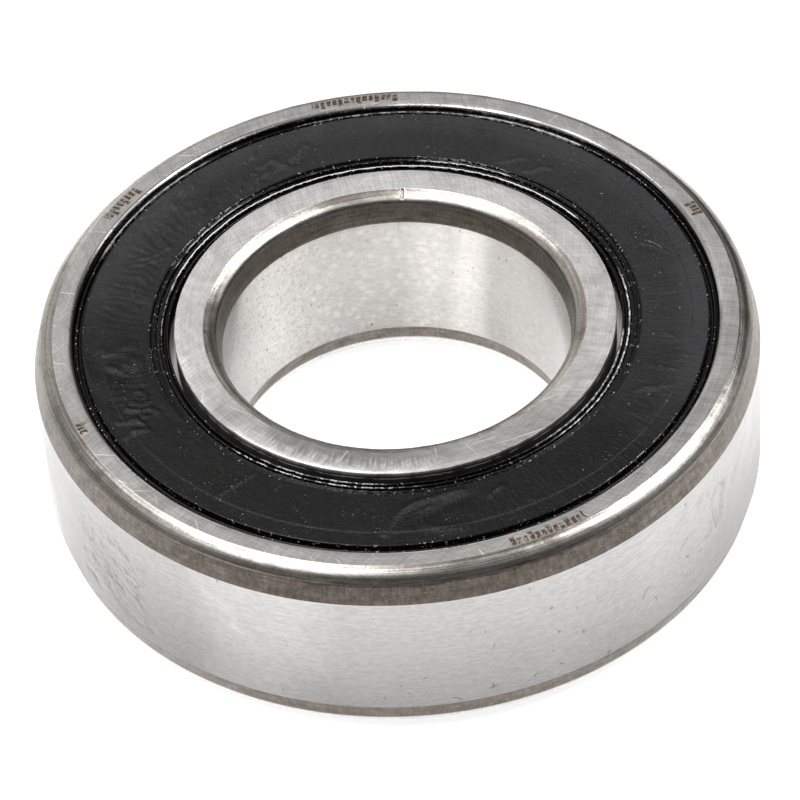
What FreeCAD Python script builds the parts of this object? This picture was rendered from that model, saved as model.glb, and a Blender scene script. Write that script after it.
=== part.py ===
import FreeCAD, Part
import math
import os

# A sealed single-row deep-groove ball bearing, in millimetres. The origin is on
# the bore's axis, midway across the width, and +Z is the axis of rotation.
# Every ring-shaped piece is one outline in the radius-height plane, turned
# about that axis. "Upper" is the +Z half, and the lower half mirrors it.

# ---- Boundary dimensions: the standard 25 x 52 x 15 size --------------------
BORE_RADIUS = 12.5
OUTER_RADIUS = 26.0
HALF_WIDTH = 7.5

# ---- Corners of the two rings ------------------------------------------------
# From the end face a wide crown arc and then a tighter shoulder arc run into a
# steep cone. The leans are the angles of the surface's normal above the
# mid-plane, in degrees: where the crown leaves the face, where the two arcs
# meet, and where the cone begins.
OUTER_CORNER_RADIAL = 1.5
OUTER_CORNER_AXIAL = 2.37
OUTER_CORNER_ARCS = (1.63, 1.18)
OUTER_CORNER_LEANS = (81, 53, 24)
BORE_CORNER_RADIAL = 1.23
BORE_CORNER_AXIAL = 2.22
BORE_CORNER_ARCS = (1.77, 0.54)
BORE_CORNER_LEANS = (80, 53, 10)

# ---- Balls and raceways ------------------------------------------------------
BALL_COUNT = 9
BALL_RADIUS = 3.969
PITCH_RADIUS = 19.5
GROOVE_RADIUS = 1.04 * BALL_RADIUS
BALL_CLEARANCE = 0.01
INNER_RACEWAY_RADIUS = PITCH_RADIUS - BALL_RADIUS - BALL_CLEARANCE
OUTER_RACEWAY_RADIUS = PITCH_RADIUS + BALL_RADIUS + BALL_CLEARANCE
INNER_SHOULDER_RADIUS = 17.17
OUTER_SHOULDER_RADIUS = 21.85

# ---- Seal recess in the outer ring -------------------------------------------
MOUTH_RADIUS = 23.12
MOUTH_TOP = 7.36
MOUTH_BOTTOM = 6.86
MOUTH_BEVEL = 0.26
MOUTH_BEVEL_BULGE = 0.03
RECESS_RADIUS = 23.70
RECESS_ROOF = 6.74
RECESS_FLOOR = 5.75

# ---- Seal land on the inner ring ---------------------------------------------
LAND_RADIUS = 15.78
LAND_FLOOR = 5.30
LAND_EDGE = 0.04

# ---- Seal: rubber moulded over a flanged steel washer ------------------------
SEAL_TOP = 7.26
SEAL_STEP_RADIUS = 21.18
SEAL_STEP = 0.04
INSERT_BOTTOM = 6.10
INSERT_THICKNESS = 0.45
INSERT_INNER_RADIUS = 17.90
INSERT_OUTER_RADIUS = 22.85
INSERT_FLANGE_BOTTOM = 5.87
BEAD_RADIUS = 23.62
BEAD_TOP = 6.72
BEAD_ROUND = 0.12
LIP_INNER_RADIUS = 16.20
LIP_OUTER_RADIUS = 16.58
LIP_TOP = 6.98
LIP_LEG_SPREAD = 0.40
LIP_CLEARANCE = 0.03

# Radius and height along the fine bead in the ring's mouth, from outside in, and
# along the groove, the thin ridge and the crest between the flat band and the lip.
MOUTH_BEAD = ((23.10, BEAD_TOP), (23.02, 6.80), (22.94, 6.80), (22.88, 7.12), (22.74, 7.12),
              (22.66, 6.78), (22.52, 6.78))
BAND_OUTER_RADIUS = 22.42
BAND_INNER_RADIUS = 17.52
LIP_RIDGES = ((17.44, 7.12), (17.32, 7.10), (17.26, 7.18), (17.16, 7.18), (17.10, 6.90),
              (16.86, 6.90), (16.78, 7.10), (16.66, 7.10), (16.60, 6.98), (16.42, 6.98),
              (16.34, 7.05), (16.26, 7.05))

# ---- Grease that clings under the washer -------------------------------------
GREASE_INNER_RADIUS = 18.10
GREASE_OUTER_RADIUS = 21.50
GREASE_DEPTH = 0.80

# ---- Ribbon cage: two pressed halves riveted between the balls ---------------
CAGE_SHEET = 0.80
CAGE_INNER_RADIUS = 18.10
CAGE_OUTER_RADIUS = 20.90
POCKET_RADIUS = BALL_RADIUS + 0.15
RIVET_RADIUS = 0.75
RIVET_CLEARANCE = 0.02
RIVET_HEAD_RADIUS = 1.20
RIVET_HEAD_HEIGHT = 0.55

AXIS = FreeCAD.Vector(0, 0, 1)
CENTRE = FreeCAD.Vector(0, 0, 0)


# ---- Outlines in the radius-height plane -------------------------------------
# An outline is a list of strokes. A stroke of two points is a straight line, and
# a stroke of three points is an arc through the middle one.
def path(*points):
    """Straight strokes from each point to the next."""
    return [(a, b) for a, b in zip(points, points[1:])]


def mirrored(strokes):
    """The same strokes below the mid-plane, in the order that goes on from them."""
    return [tuple((r, -z) for r, z in reversed(stroke)) for stroke in reversed(strokes)]


def turned(strokes):
    """The solid of revolution of a closed outline."""
    edges = []
    for stroke in strokes:
        corners = [FreeCAD.Vector(r, 0, z) for r, z in stroke]
        if len(corners) == 2:
            edges.append(Part.LineSegment(*corners).toShape())
        else:
            edges.append(Part.Arc(*corners).toShape())
    return Part.Face(Part.Wire(edges)).revolve(CENTRE, AXIS, 360)


def round_corner(face_radius, wall_radius, axial, arc_radii, leans):
    """The upper corner between a wall and an end face, from the wall to the face."""
    side = 1 if wall_radius > face_radius else -1
    end = (face_radius, HALF_WIDTH)
    strokes = []
    for radius, first_lean, last_lean in zip(arc_radii, leans, leans[1:]):
        first, middle, last = [
            (side * radius * math.cos(math.radians(lean)), radius * math.sin(math.radians(lean)))
            for lean in (first_lean, (first_lean + last_lean) / 2, last_lean)]
        centre = (end[0] - first[0], end[1] - first[1])
        start = (centre[0] + last[0], centre[1] + last[1])
        strokes.insert(0, (start, (centre[0] + middle[0], centre[1] + middle[1]), end))
        end = start
    foot = (wall_radius, HALF_WIDTH - axial)
    return [(foot, end)] + strokes


def raceway_half_width(raceway_radius, shoulder_radius):
    """Height at which a raceway groove runs out into its shoulder."""
    depth = abs(raceway_radius - shoulder_radius)
    return math.sqrt(GROOVE_RADIUS ** 2 - (GROOVE_RADIUS - depth) ** 2)


def raceway(raceway_radius, shoulder_radius):
    """The groove's arc, from its upper end to its lower end."""
    edge = raceway_half_width(raceway_radius, shoulder_radius)
    return [((shoulder_radius, edge), (raceway_radius, 0), (shoulder_radius, -edge))]


# ---- Rings --------------------------------------------------------------------
def outer_ring():
    """Outer ring: round corners, a bevelled seal recess each side, one groove."""
    face_radius = OUTER_RADIUS - OUTER_CORNER_RADIAL
    corner = round_corner(face_radius, OUTER_RADIUS, OUTER_CORNER_AXIAL,
                          OUTER_CORNER_ARCS, OUTER_CORNER_LEANS)
    edge = raceway_half_width(OUTER_RACEWAY_RADIUS, OUTER_SHOULDER_RADIUS)
    bevel_start = (MOUTH_RADIUS + MOUTH_BEVEL, HALF_WIDTH)
    bevel_end = (MOUTH_RADIUS, MOUTH_TOP)
    bevel_middle = ((bevel_start[0] + bevel_end[0]) / 2,
                    (bevel_start[1] + bevel_end[1]) / 2 + MOUTH_BEVEL_BULGE)
    upper = corner + [
        ((face_radius, HALF_WIDTH), bevel_start),
        (bevel_start, bevel_middle, bevel_end),
    ] + path(
        bevel_end,
        (MOUTH_RADIUS, MOUTH_BOTTOM),
        (RECESS_RADIUS, RECESS_ROOF),
        (RECESS_RADIUS, RECESS_FLOOR),
        (OUTER_SHOULDER_RADIUS, RECESS_FLOOR),
        (OUTER_SHOULDER_RADIUS, edge),
    )
    groove = raceway(OUTER_RACEWAY_RADIUS, OUTER_SHOULDER_RADIUS)
    lower = mirrored(upper)
    wall = path(lower[-1][-1], upper[0][0])
    return turned(upper + groove + lower + wall)


def inner_ring():
    """Inner ring: rounded bore corners, a stepped seal land each side, one groove."""
    face_radius = BORE_RADIUS + BORE_CORNER_RADIAL
    corner = round_corner(face_radius, BORE_RADIUS, BORE_CORNER_AXIAL,
                          BORE_CORNER_ARCS, BORE_CORNER_LEANS)
    edge = raceway_half_width(INNER_RACEWAY_RADIUS, INNER_SHOULDER_RADIUS)
    upper = corner + path(
        (face_radius, HALF_WIDTH),
        (LAND_RADIUS - LAND_EDGE, HALF_WIDTH),
        (LAND_RADIUS, HALF_WIDTH - LAND_EDGE),
        (LAND_RADIUS, LAND_FLOOR),
        (INNER_SHOULDER_RADIUS, LAND_FLOOR),
        (INNER_SHOULDER_RADIUS, edge),
    )
    groove = raceway(INNER_RACEWAY_RADIUS, INNER_SHOULDER_RADIUS)
    lower = mirrored(upper)
    wall = path(lower[-1][-1], upper[0][0])
    return turned(upper + groove + lower + wall)


# ---- Balls ---------------------------------------------------------------------
def around_pitch_circle(index, offset=0.0):
    """Centre of a ball, or of the web beside it when the offset is one half."""
    angle = 2 * math.pi * (index + offset) / BALL_COUNT
    return FreeCAD.Vector(PITCH_RADIUS * math.cos(angle), PITCH_RADIUS * math.sin(angle), 0)


def ball(index):
    """One steel ball at its place on the pitch circle."""
    return Part.makeSphere(BALL_RADIUS, around_pitch_circle(index))


# ---- Cage ------------------------------------------------------------------------
def washer(inner_radius, outer_radius, bottom, top):
    """A flat ring between two heights."""
    disc = Part.makeCylinder(outer_radius, top - bottom, FreeCAD.Vector(0, 0, bottom))
    hole = Part.makeCylinder(inner_radius, top - bottom, FreeCAD.Vector(0, 0, bottom))
    return disc.cut(hole)


def upper_cage_half():
    """A pressed ribbon: a domed pocket over each ball and a drilled web between."""
    pocket_outside = POCKET_RADIUS + CAGE_SHEET
    band = washer(CAGE_INNER_RADIUS, CAGE_OUTER_RADIUS, 0, pocket_outside)
    webs = washer(CAGE_INNER_RADIUS, CAGE_OUTER_RADIUS, 0, CAGE_SHEET)
    domes = [Part.makeSphere(pocket_outside, around_pitch_circle(k)) for k in range(BALL_COUNT)]
    hollows = [Part.makeSphere(POCKET_RADIUS, around_pitch_circle(k)) for k in range(BALL_COUNT)]
    holes = [
        Part.makeCylinder(RIVET_RADIUS + RIVET_CLEARANCE, CAGE_SHEET, around_pitch_circle(k, 0.5))
        for k in range(BALL_COUNT)]
    pressed = webs.fuse([band.common(dome) for dome in domes]).removeSplitter()
    return pressed.cut(hollows + holes).removeSplitter()


def lower_cage_half():
    """The upper half turned over, so that the webs lie face to face."""
    return upper_cage_half().mirror(CENTRE, AXIS)


def rivet(index):
    """A shank through both webs, with a domed head at each end."""
    foot = around_pitch_circle(index, 0.5)
    top = CAGE_SHEET + RIVET_HEAD_HEIGHT
    dome_radius = (RIVET_HEAD_RADIUS ** 2 + RIVET_HEAD_HEIGHT ** 2) / (2 * RIVET_HEAD_HEIGHT)
    dome_centre = (0, top - dome_radius)
    half_angle = math.asin(RIVET_HEAD_RADIUS / dome_radius) / 2
    crown = (dome_centre[0] + dome_radius * math.sin(half_angle),
             dome_centre[1] + dome_radius * math.cos(half_angle))
    upper = path((RIVET_RADIUS, 0), (RIVET_RADIUS, CAGE_SHEET), (RIVET_HEAD_RADIUS, CAGE_SHEET))
    upper.append(((RIVET_HEAD_RADIUS, CAGE_SHEET), crown, (0, top)))
    lower = mirrored(upper)
    solid = turned(upper + path((0, top), (0, -top)) + lower)
    solid.translate(foot)
    return solid


def cage_rivets():
    """All the rivets, each its own solid."""
    return Part.makeCompound([rivet(k) for k in range(BALL_COUNT)])


# ---- Seals -----------------------------------------------------------------------
def upper_seal_insert():
    """Steel washer whose outer edge is bent down into a short flange."""
    flange_inner = INSERT_OUTER_RADIUS - INSERT_THICKNESS
    top = INSERT_BOTTOM + INSERT_THICKNESS
    return turned(path(
        (INSERT_INNER_RADIUS, INSERT_BOTTOM),
        (INSERT_INNER_RADIUS, top),
        (INSERT_OUTER_RADIUS, top),
        (INSERT_OUTER_RADIUS, INSERT_FLANGE_BOTTOM),
        (flange_inner, INSERT_FLANGE_BOTTOM),
        (flange_inner, INSERT_BOTTOM),
        (INSERT_INNER_RADIUS, INSERT_BOTTOM),
    ))


def seal_top():
    """Upper contour of the rubber, from the mouth's bead in to the lip.

    A flat band with one hair-fine step lies between the bead and the ridges.
    """
    inner_band = SEAL_TOP + SEAL_STEP
    return path(
        *MOUTH_BEAD,
        (BAND_OUTER_RADIUS, SEAL_TOP),
        (SEAL_STEP_RADIUS + SEAL_STEP, SEAL_TOP),
        (SEAL_STEP_RADIUS, inner_band),
        (BAND_INNER_RADIUS, inner_band),
        *LIP_RIDGES,
        (LIP_INNER_RADIUS, LIP_TOP),
    )


def upper_seal_rubber():
    """Rubber that covers the washer, snaps under the ring's mouth and ends in a lip."""
    flange_inner = INSERT_OUTER_RADIUS - INSERT_THICKNESS
    insert_top = INSERT_BOTTOM + INSERT_THICKNESS
    lip_bottom = LAND_FLOOR + LIP_CLEARANCE
    top = seal_top()
    underside = path(
        (LIP_INNER_RADIUS, LIP_TOP),
        (LIP_INNER_RADIUS, lip_bottom),
        (LIP_OUTER_RADIUS, lip_bottom),
        (LIP_OUTER_RADIUS + LIP_LEG_SPREAD, INSERT_BOTTOM),
        (INSERT_INNER_RADIUS, INSERT_BOTTOM),
        (INSERT_INNER_RADIUS, insert_top),
        (INSERT_OUTER_RADIUS, insert_top),
        (INSERT_OUTER_RADIUS, INSERT_FLANGE_BOTTOM),
        (flange_inner, INSERT_FLANGE_BOTTOM),
        (flange_inner, RECESS_FLOOR),
        (BEAD_RADIUS - BEAD_ROUND, RECESS_FLOOR),
        (BEAD_RADIUS, RECESS_FLOOR + BEAD_ROUND),
        (BEAD_RADIUS, BEAD_TOP - BEAD_ROUND),
        (BEAD_RADIUS - BEAD_ROUND, BEAD_TOP),
        top[0][0],
    )
    return turned(top + underside)


def upper_grease_collar():
    """A rounded ring of grease on the washer's inner side."""
    bottom = INSERT_BOTTOM - GREASE_DEPTH
    middle = (GREASE_INNER_RADIUS + GREASE_OUTER_RADIUS) / 2
    inner_end = (GREASE_INNER_RADIUS, INSERT_BOTTOM)
    outer_end = (GREASE_OUTER_RADIUS, INSERT_BOTTOM)
    return turned([(inner_end, outer_end), (outer_end, (middle, bottom), inner_end)])


# ---- Output ----------------------------------------------------------------------
def flipped(solid):
    """The same piece on the other side of the mid-plane."""
    return solid.mirror(CENTRE, AXIS)


def all_nodes():
    """Every node's name with its shape."""
    nodes = {"outer_ring": outer_ring(), "inner_ring": inner_ring()}
    for k in range(BALL_COUNT):
        nodes[f"ball_{k + 1}"] = ball(k)
    nodes["upper_cage_half"] = upper_cage_half()
    nodes["lower_cage_half"] = lower_cage_half()
    nodes["cage_rivets"] = cage_rivets()
    for name, make in (("seal_insert", upper_seal_insert),
                       ("seal_rubber", upper_seal_rubber),
                       ("grease_collar", upper_grease_collar)):
        nodes["upper_" + name] = make()
        nodes["lower_" + name] = flipped(make())
    return nodes


os.makedirs("parts", exist_ok=True)
for node_name, shape in all_nodes().items():
    shape.exportStep(f"parts/{node_name}.step")
    print(f"{node_name:20s} solids {len(shape.Solids)}  valid {shape.isValid()}  "
          f"volume {shape.Volume:9.3f} mm3")
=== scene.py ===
import math
import random

import bpy
import numpy as np
from mathutils import Matrix, Vector, noise


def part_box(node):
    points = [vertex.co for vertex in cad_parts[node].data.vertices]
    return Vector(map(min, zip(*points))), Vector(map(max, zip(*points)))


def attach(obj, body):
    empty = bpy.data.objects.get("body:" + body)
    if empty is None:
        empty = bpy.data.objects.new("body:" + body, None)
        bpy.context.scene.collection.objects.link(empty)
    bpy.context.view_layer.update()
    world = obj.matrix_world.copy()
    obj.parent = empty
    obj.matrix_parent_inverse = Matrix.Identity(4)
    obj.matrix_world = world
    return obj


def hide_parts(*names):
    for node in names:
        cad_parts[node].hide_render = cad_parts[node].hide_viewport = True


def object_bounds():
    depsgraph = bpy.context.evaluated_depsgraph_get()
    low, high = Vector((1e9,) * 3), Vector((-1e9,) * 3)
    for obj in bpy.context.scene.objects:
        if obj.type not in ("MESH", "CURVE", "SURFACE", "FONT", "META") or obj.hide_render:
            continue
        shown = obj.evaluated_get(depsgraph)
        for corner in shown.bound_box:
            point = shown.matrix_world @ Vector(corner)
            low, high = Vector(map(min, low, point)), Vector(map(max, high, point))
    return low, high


# A sealed deep-groove ball bearing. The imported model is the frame. The two rings
# and the two seal rubbers are turned again here at a finer step, with the rounded
# edges, dents and wrinkles of the real surfaces. Lengths are in millimetres up to
# the point where a mesh is made, and angles round the axis are in degrees.
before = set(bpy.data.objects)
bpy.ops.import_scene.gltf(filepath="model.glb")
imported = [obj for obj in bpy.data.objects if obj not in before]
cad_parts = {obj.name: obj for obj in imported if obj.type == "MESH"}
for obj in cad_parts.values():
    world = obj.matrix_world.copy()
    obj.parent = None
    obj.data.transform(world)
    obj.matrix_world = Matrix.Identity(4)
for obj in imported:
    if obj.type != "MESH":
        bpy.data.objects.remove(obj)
cad_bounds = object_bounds()

MM = 0.001
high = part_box("outer_ring")[1]
OUTER_RADIUS = high.x / MM
HALF_WIDTH = high.z / MM

# ---- Ring outlines, as in the CAD model ----
BORE_RADIUS = 12.5
OUTER_CORNER = {"radial": 1.5, "axial": 2.37, "arcs": (1.63, 1.18), "leans": (81, 53, 24)}
BORE_CORNER = {"radial": 1.23, "axial": 2.22, "arcs": (1.77, 0.54), "leans": (80, 53, 10)}
FLAT_START = 0.05  # a narrow row beside each corner, which keeps the face flat in smooth shading
BALL_RADIUS = 3.969
PITCH_RADIUS = 19.5
GROOVE_RADIUS = 1.04 * BALL_RADIUS
RACEWAY_CLEARANCE = 0.01
INNER_SHOULDER_RADIUS = 17.17
OUTER_SHOULDER_RADIUS = 21.85
MOUTH_RADIUS = 23.12
MOUTH_TOP = 7.36
MOUTH_BOTTOM = 6.86
MOUTH_BEVEL = 0.26
RECESS_RADIUS = 23.70
RECESS_ROOF = 6.74
RECESS_FLOOR = 5.75
LAND_RADIUS = 15.78
LAND_FLOOR = 5.30

# ---- Painted highlights on the ground walls, where the soft boxes reflect: azimuth, half width, added gain ----
OUTER_WALL_PAINTED_HIGHLIGHTS = ((-116, 9, 0.26), (-43, 9, 0.16), (-60, 12, 0.05))
BORE_PAINTED_HIGHLIGHTS = ((62, 6, 0.30), (70, 13, 0.30), (128, 16, 0.16), (142, 15, 0.34), (28, 20, 0.24))

# ---- Painted highlights and painted shade on stretches of the rolled corners ----
# First and last azimuth, soft ends, lowest height and gain.
OUTER_ROLL_PAINTED_LIGHT = ((34, 158, 10, 6.0, 2.1), (-99, -62, 10, 6.0, 0.68), (-168, -133, 7, 6.0, 0.62))
BORE_ROLL_PAINTED_LIGHT = ((112, 166, 6, 7.30, 2.0), (112, 166, 6, 7.0, 1.3), (88, 108, 3, 6.9, 0.85),
                   (-165, -20, 12, 7.0, 2.0))

# ---- Fibres on the outside wall: azimuth, height, radius of the curl, its two angles ----
FIBRES = ((-85.4, -5.2, 0.62, 20, 95), (-79.7, -4.1, 0.30, -60, 60), (-78.9, -4.5, 0.42, 60, 150),
          (-72.0, -4.3, 0.28, 80, 175), (-51.0, -1.7, 0.80, 95, 175), (-89.3, -2.6, 0.34, 60, 130),
          (-67.6, -3.7, 0.30, -160, -80), (-59.6, -4.9, 0.10, -180, 180), (-69.3, 2.0, 0.09, -180, 180),
          (-68.2, -0.6, 0.08, -180, 180))

# ---- Hair on the upper seal: three points of its arc ----
HAIR = ((18.40, 6.30), (19.04, 5.96), (19.62, 5.34))

# ---- Scratch across the inner ring's upper face: three points of its arc ----
SCRATCH = ((-3.90, -13.15), (-4.24, -13.62), (-4.52, -14.12))

# ---- Etched ticks: first and last azimuth and spacing of each row, and their radii ----
MARK_ROWS = ((-159.5, -156.8, 0.90), (-74.0, -60.5, 1.08), (20.5, 24.1, 0.90), (86.5, 102.0, 1.08),
             (139.0, 148.0, 1.08))
MARK_FOOT = 23.58
MARK_HEAD = 24.45

# ---- Places of single stretches, as azimuths, and as depths below the upper face ----
# Painted light on the front of the inner ring's face: shade towards the bore, highlight towards the land
RIM_LIGHT_AZIMUTHS = (-134, -82)
RIM_LIGHT_RADII = (14.1, 15.5)
# Painted shade on the seam of the rolled corner, in front
SEAM_SHADE_AZIMUTHS = (-108, -56)
# Painted shade in the folds of the crumpled film on the outside wall
CREASE_SHADE_AZIMUTHS = (-153, -137)
CREASE_SHADE_DEPTHS = (4.4, 12.0)
# Painted highlight along a faint wrinkle of the film on the outside wall
PLUME_AZIMUTH = -129.0
PLUME_LEAN = 1.54
PLUME_DEPTHS = (3.0, 9.0)
BLISTERED_AZIMUTHS = (68, 125)
SPECKED_AZIMUTHS = (112, 176)

# ---- Deep nick in the bore's upper corner, and the finer mesh for it ----
NICK_AZIMUTH = 84.8
NICK_DEPTH = 0.10
NICK_HALF_WIDTH = 0.45
NICK_STRETCH = ((83.4, 86.2, 0.12),)

# ---- Painted highlights on the seal's crests ----
# Radius, half width, first and last azimuth, brightness, and how broken up they are.
PAINTED_GLEAMS = ((16.72, 0.050, 36, 160, 0.60, 0.12), (16.72, 0.050, -52, 10, 0.52, 0.8),
          (16.72, 0.045, -132, -90, 0.50, 1.0), (16.72, 0.030, 160, 180, 0.20, 1.0),
          (17.21, 0.038, 60, 80, 0.60, 0.5), (17.21, 0.038, 128, 150, 0.50, 0.5),
          (17.21, 0.030, 96, 112, 0.16, 1.0), (17.50, 0.025, 62, 78, 0.24, 1.0),
          (17.50, 0.030, 130, 152, 0.30, 1.0), (16.31, 0.045, -126, -94, 0.45, 0.9),
          (16.31, 0.060, -56, -8, 0.34, 0.7), (22.81, 0.090, 50, 74, 0.38, 0.5),
          (22.81, 0.085, 126, 156, 0.28, 0.5), (22.80, 0.060, 76, 104, 0.24, 0.8),
          (22.80, 0.030, 30, 50, 0.16, 1.0), (22.34, 0.025, -54, -38, 0.30, 1.0))

# ---- Seal outline ----
BAND_OUTER_RADIUS = 22.42
BAND_INNER_RADIUS = 17.52
BAND_TOP = 7.26
STEP_RADIUS = 21.18
STEP_HEIGHT = 0.04
STEP_HALF_WIDTH = 0.07
LIP_INNER_RADIUS = 16.20


# ======== Outlines ========
# Finishes of the rings and of the seal rubbers, in the order of their materials.
FACE, CORNER, CYLINDER, EDGE, HIDDEN = range(5)
BAND, RIDGE = range(2)


class Outline:
    """A closed outline in the radius-height plane, with a finish for each stretch."""

    def __init__(self, start):
        self.points = [start]
        self.finishes = []

    def line(self, end, finish, steps=1):
        """A straight stretch in equal steps."""
        r, z = self.points[-1]
        for k in range(1, steps + 1):
            t = k / steps
            self.points.append((r + (end[0] - r) * t, z + (end[1] - z) * t))
            self.finishes.append(finish)
        return self

    def arc(self, middle, end, finish, steps):
        """A circular stretch through a middle point."""
        centre, radius, first, sweep = circle_through(self.points[-1], middle, end)
        for k in range(1, steps + 1):
            angle = first + sweep * k / steps
            self.points.append((centre[0] + radius * math.cos(angle),
                                centre[1] + radius * math.sin(angle)))
            self.finishes.append(finish)
        return self

    def rounded(self, corners, finish, steps=4):
        """Straight stretches whose corners are rounded. A corner is (r, z, rounding)."""
        points = [(*self.points[-1], 0)] + list(corners)
        for before, corner, after in zip(points, points[1:], points[2:] + [None]):
            if after is None or corner[2] == 0:
                self.line(corner[:2], finish)
                continue
            here = Vector(corner[:2])
            start = here + (Vector(before[:2]) - here).normalized() * corner[2]
            end = here + (Vector(after[:2]) - here).normalized() * corner[2]
            self.line(tuple(start), finish)
            for k in range(1, steps + 1):
                t = k / steps
                point = start * (1 - t) ** 2 + here * 2 * t * (1 - t) + end * t ** 2
                self.points.append(tuple(point))
                self.finishes.append(finish)
        return self

    def flipped(self):
        """The whole outline turned over the mid-plane, still anticlockwise."""
        other = Outline(None)
        other.points = [(r, -z) for r, z in reversed(self.points)]
        other.finishes = list(reversed(self.finishes))
        return other


def circle_through(a, b, c):
    """Centre, radius, first angle and signed sweep of the circle from a through b to c."""
    d = 2 * (a[0] * (b[1] - c[1]) + b[0] * (c[1] - a[1]) + c[0] * (a[1] - b[1]))
    sa, sb, sc = (p[0] ** 2 + p[1] ** 2 for p in (a, b, c))
    x = (sa * (b[1] - c[1]) + sb * (c[1] - a[1]) + sc * (a[1] - b[1])) / d
    y = (sa * (c[0] - b[0]) + sb * (a[0] - c[0]) + sc * (b[0] - a[0])) / d
    first, middle, last = (math.atan2(p[1] - y, p[0] - x) for p in (a, b, c))
    turn = (last - first) % math.tau
    if (middle - first) % math.tau > turn:
        turn -= math.tau
    return (x, y), math.hypot(a[0] - x, a[1] - y), first, turn


def corner_outline(wall_radius, face_radius, corner, arc_steps):
    """An outline begun with a ring's upper corner, from the foot of its cone to the face."""
    side = 1 if wall_radius > face_radius else -1
    end = (face_radius, HALF_WIDTH)
    arcs = []
    for radius, first_lean, last_lean in zip(corner["arcs"], corner["leans"], corner["leans"][1:]):
        first, middle, last = [
            (side * radius * math.cos(math.radians(lean)), radius * math.sin(math.radians(lean)))
            for lean in (first_lean, (first_lean + last_lean) / 2, last_lean)]
        centre = (end[0] - first[0], end[1] - first[1])
        arcs.insert(0, ((centre[0] + middle[0], centre[1] + middle[1]), end))
        end = (centre[0] + last[0], centre[1] + last[1])
    outline = Outline((wall_radius, HALF_WIDTH - corner["axial"]))
    outline.line(end, CORNER, 6)
    for middle, end in arcs:
        outline.arc(middle, end, CORNER, arc_steps)
    return outline


# ======== Turned meshes ========
SHARP_ANGLE = math.radians(40)


def add_object(name, data):
    """Puts a mesh, a light or a camera into the scene as an object."""
    made = bpy.data.objects.new(name, data)
    bpy.context.scene.collection.objects.link(made)
    return made


def azimuths(step, finer=()):
    """Angles right round the axis, in degrees. finer is (from, to, step) stretches."""
    angles, angle = [], -180.0
    while angle < 180.0 - 1e-6:
        angles.append(angle)
        own = [s for a, b, s in finer if a <= angle < b]
        angle += own[0] if own else step
    return np.array(angles)


def turned(name, body, outline, materials, angles, relief):
    """A closed mesh of revolution that rides a body.

    materials are in the order of the outline's finishes. relief moves the points, which
    come as arrays of radius, height and azimuth with a row for each point of the outline.
    """
    profile = np.array(outline.points)
    if np.allclose(profile[0], profile[-1]):
        profile = profile[:-1]
    rows, columns = len(profile), len(angles)
    r = np.repeat(profile[:, 0], columns).reshape(rows, columns)
    z = np.repeat(profile[:, 1], columns).reshape(rows, columns)
    azimuth = np.tile(angles, (rows, 1))
    r, z = relief(r, z, azimuth)
    a = np.radians(azimuth)
    points = np.stack([r * np.cos(a), r * np.sin(a), z], -1).reshape(-1, 3) * MM
    row, column = np.meshgrid(np.arange(rows), np.arange(columns), indexing="ij")
    next_row, next_column = (row + 1) % rows, (column + 1) % columns
    quads = np.stack([row * columns + column, row * columns + next_column,
                      next_row * columns + next_column, next_row * columns + column], -1)
    mesh = bpy.data.meshes.new(name)
    mesh.from_pydata(points.tolist(), [], quads.reshape(-1, 4).tolist())
    for material in materials:
        mesh.materials.append(material)
    finishes = np.repeat(np.array(outline.finishes, dtype=np.int32), columns)
    mesh.polygons.foreach_set("material_index", finishes)
    mesh.polygons.foreach_set("use_smooth", np.ones(len(finishes), dtype=bool))
    mesh.set_sharp_from_angle(angle=SHARP_ANGLE)
    piece = add_object(name, mesh)
    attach(piece, body)
    return piece


# ======== Relief: dents, ridges and wrinkles on a turned surface ========
def smooth_line(points, steps=6):
    """More points along a line of given points, on a Catmull-Rom curve."""
    ends = [points[0]] + list(points) + [points[-1]]
    out = []
    for p0, p1, p2, p3 in zip(ends, ends[1:], ends[2:], ends[3:]):
        for k in range(steps):
            t = k / steps
            out.append([0.5 * (2 * b + (c - a) * t + (2 * a - 5 * b + 4 * c - d) * t * t
                               + (3 * b - a - 3 * c + d) * t ** 3)
                        for a, b, c, d in zip(p0, p1, p2, p3)])
    out.append(list(points[-1]))
    return np.array(out)


def crease(x, y, points, width, height):
    """Height of a soft ridge along a line, which thins out towards its ends."""
    line = smooth_line(points)
    reach = 3 * width
    near = ((x > line[:, 0].min() - reach) & (x < line[:, 0].max() + reach)
            & (y > line[:, 1].min() - reach) & (y < line[:, 1].max() + reach))
    px, py = x[near], y[near]
    best = np.full(px.shape, 1e9)
    along = np.zeros(px.shape)
    count = len(line) - 1
    for k in range(count):
        a, b = line[k], line[k + 1]
        d = b - a
        t = np.clip(((px - a[0]) * d[0] + (py - a[1]) * d[1]) / max(d @ d, 1e-12), 0, 1)
        distance = np.hypot(px - a[0] - t * d[0], py - a[1] - t * d[1])
        closer = distance < best
        best[closer] = distance[closer]
        along[closer] = (k + t[closer]) / count
    taper = np.clip(4 * along * (1 - along), 0, 1) ** 0.5
    out = np.zeros(x.shape)
    out[near] = height * taper * np.exp(-(best / width) ** 2)
    return out


def fractal(x, y, scale, seed):
    """Smooth noise of two coordinates, about -1 to 1, sampled on a grid of points."""
    flat = zip((x / scale).ravel(), (y / scale).ravel())
    return np.array([noise.noise((a, b, seed)) for a, b in flat]).reshape(x.shape)


def window(value, start, end, soft):
    """1 between start and end, and 0 outside, with soft edges."""
    rise = np.clip((value - start) / soft, 0, 1)
    fall = np.clip((end - value) / soft, 0, 1)
    return (rise * rise * (3 - 2 * rise)) * (fall * fall * (3 - 2 * fall))


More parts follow.
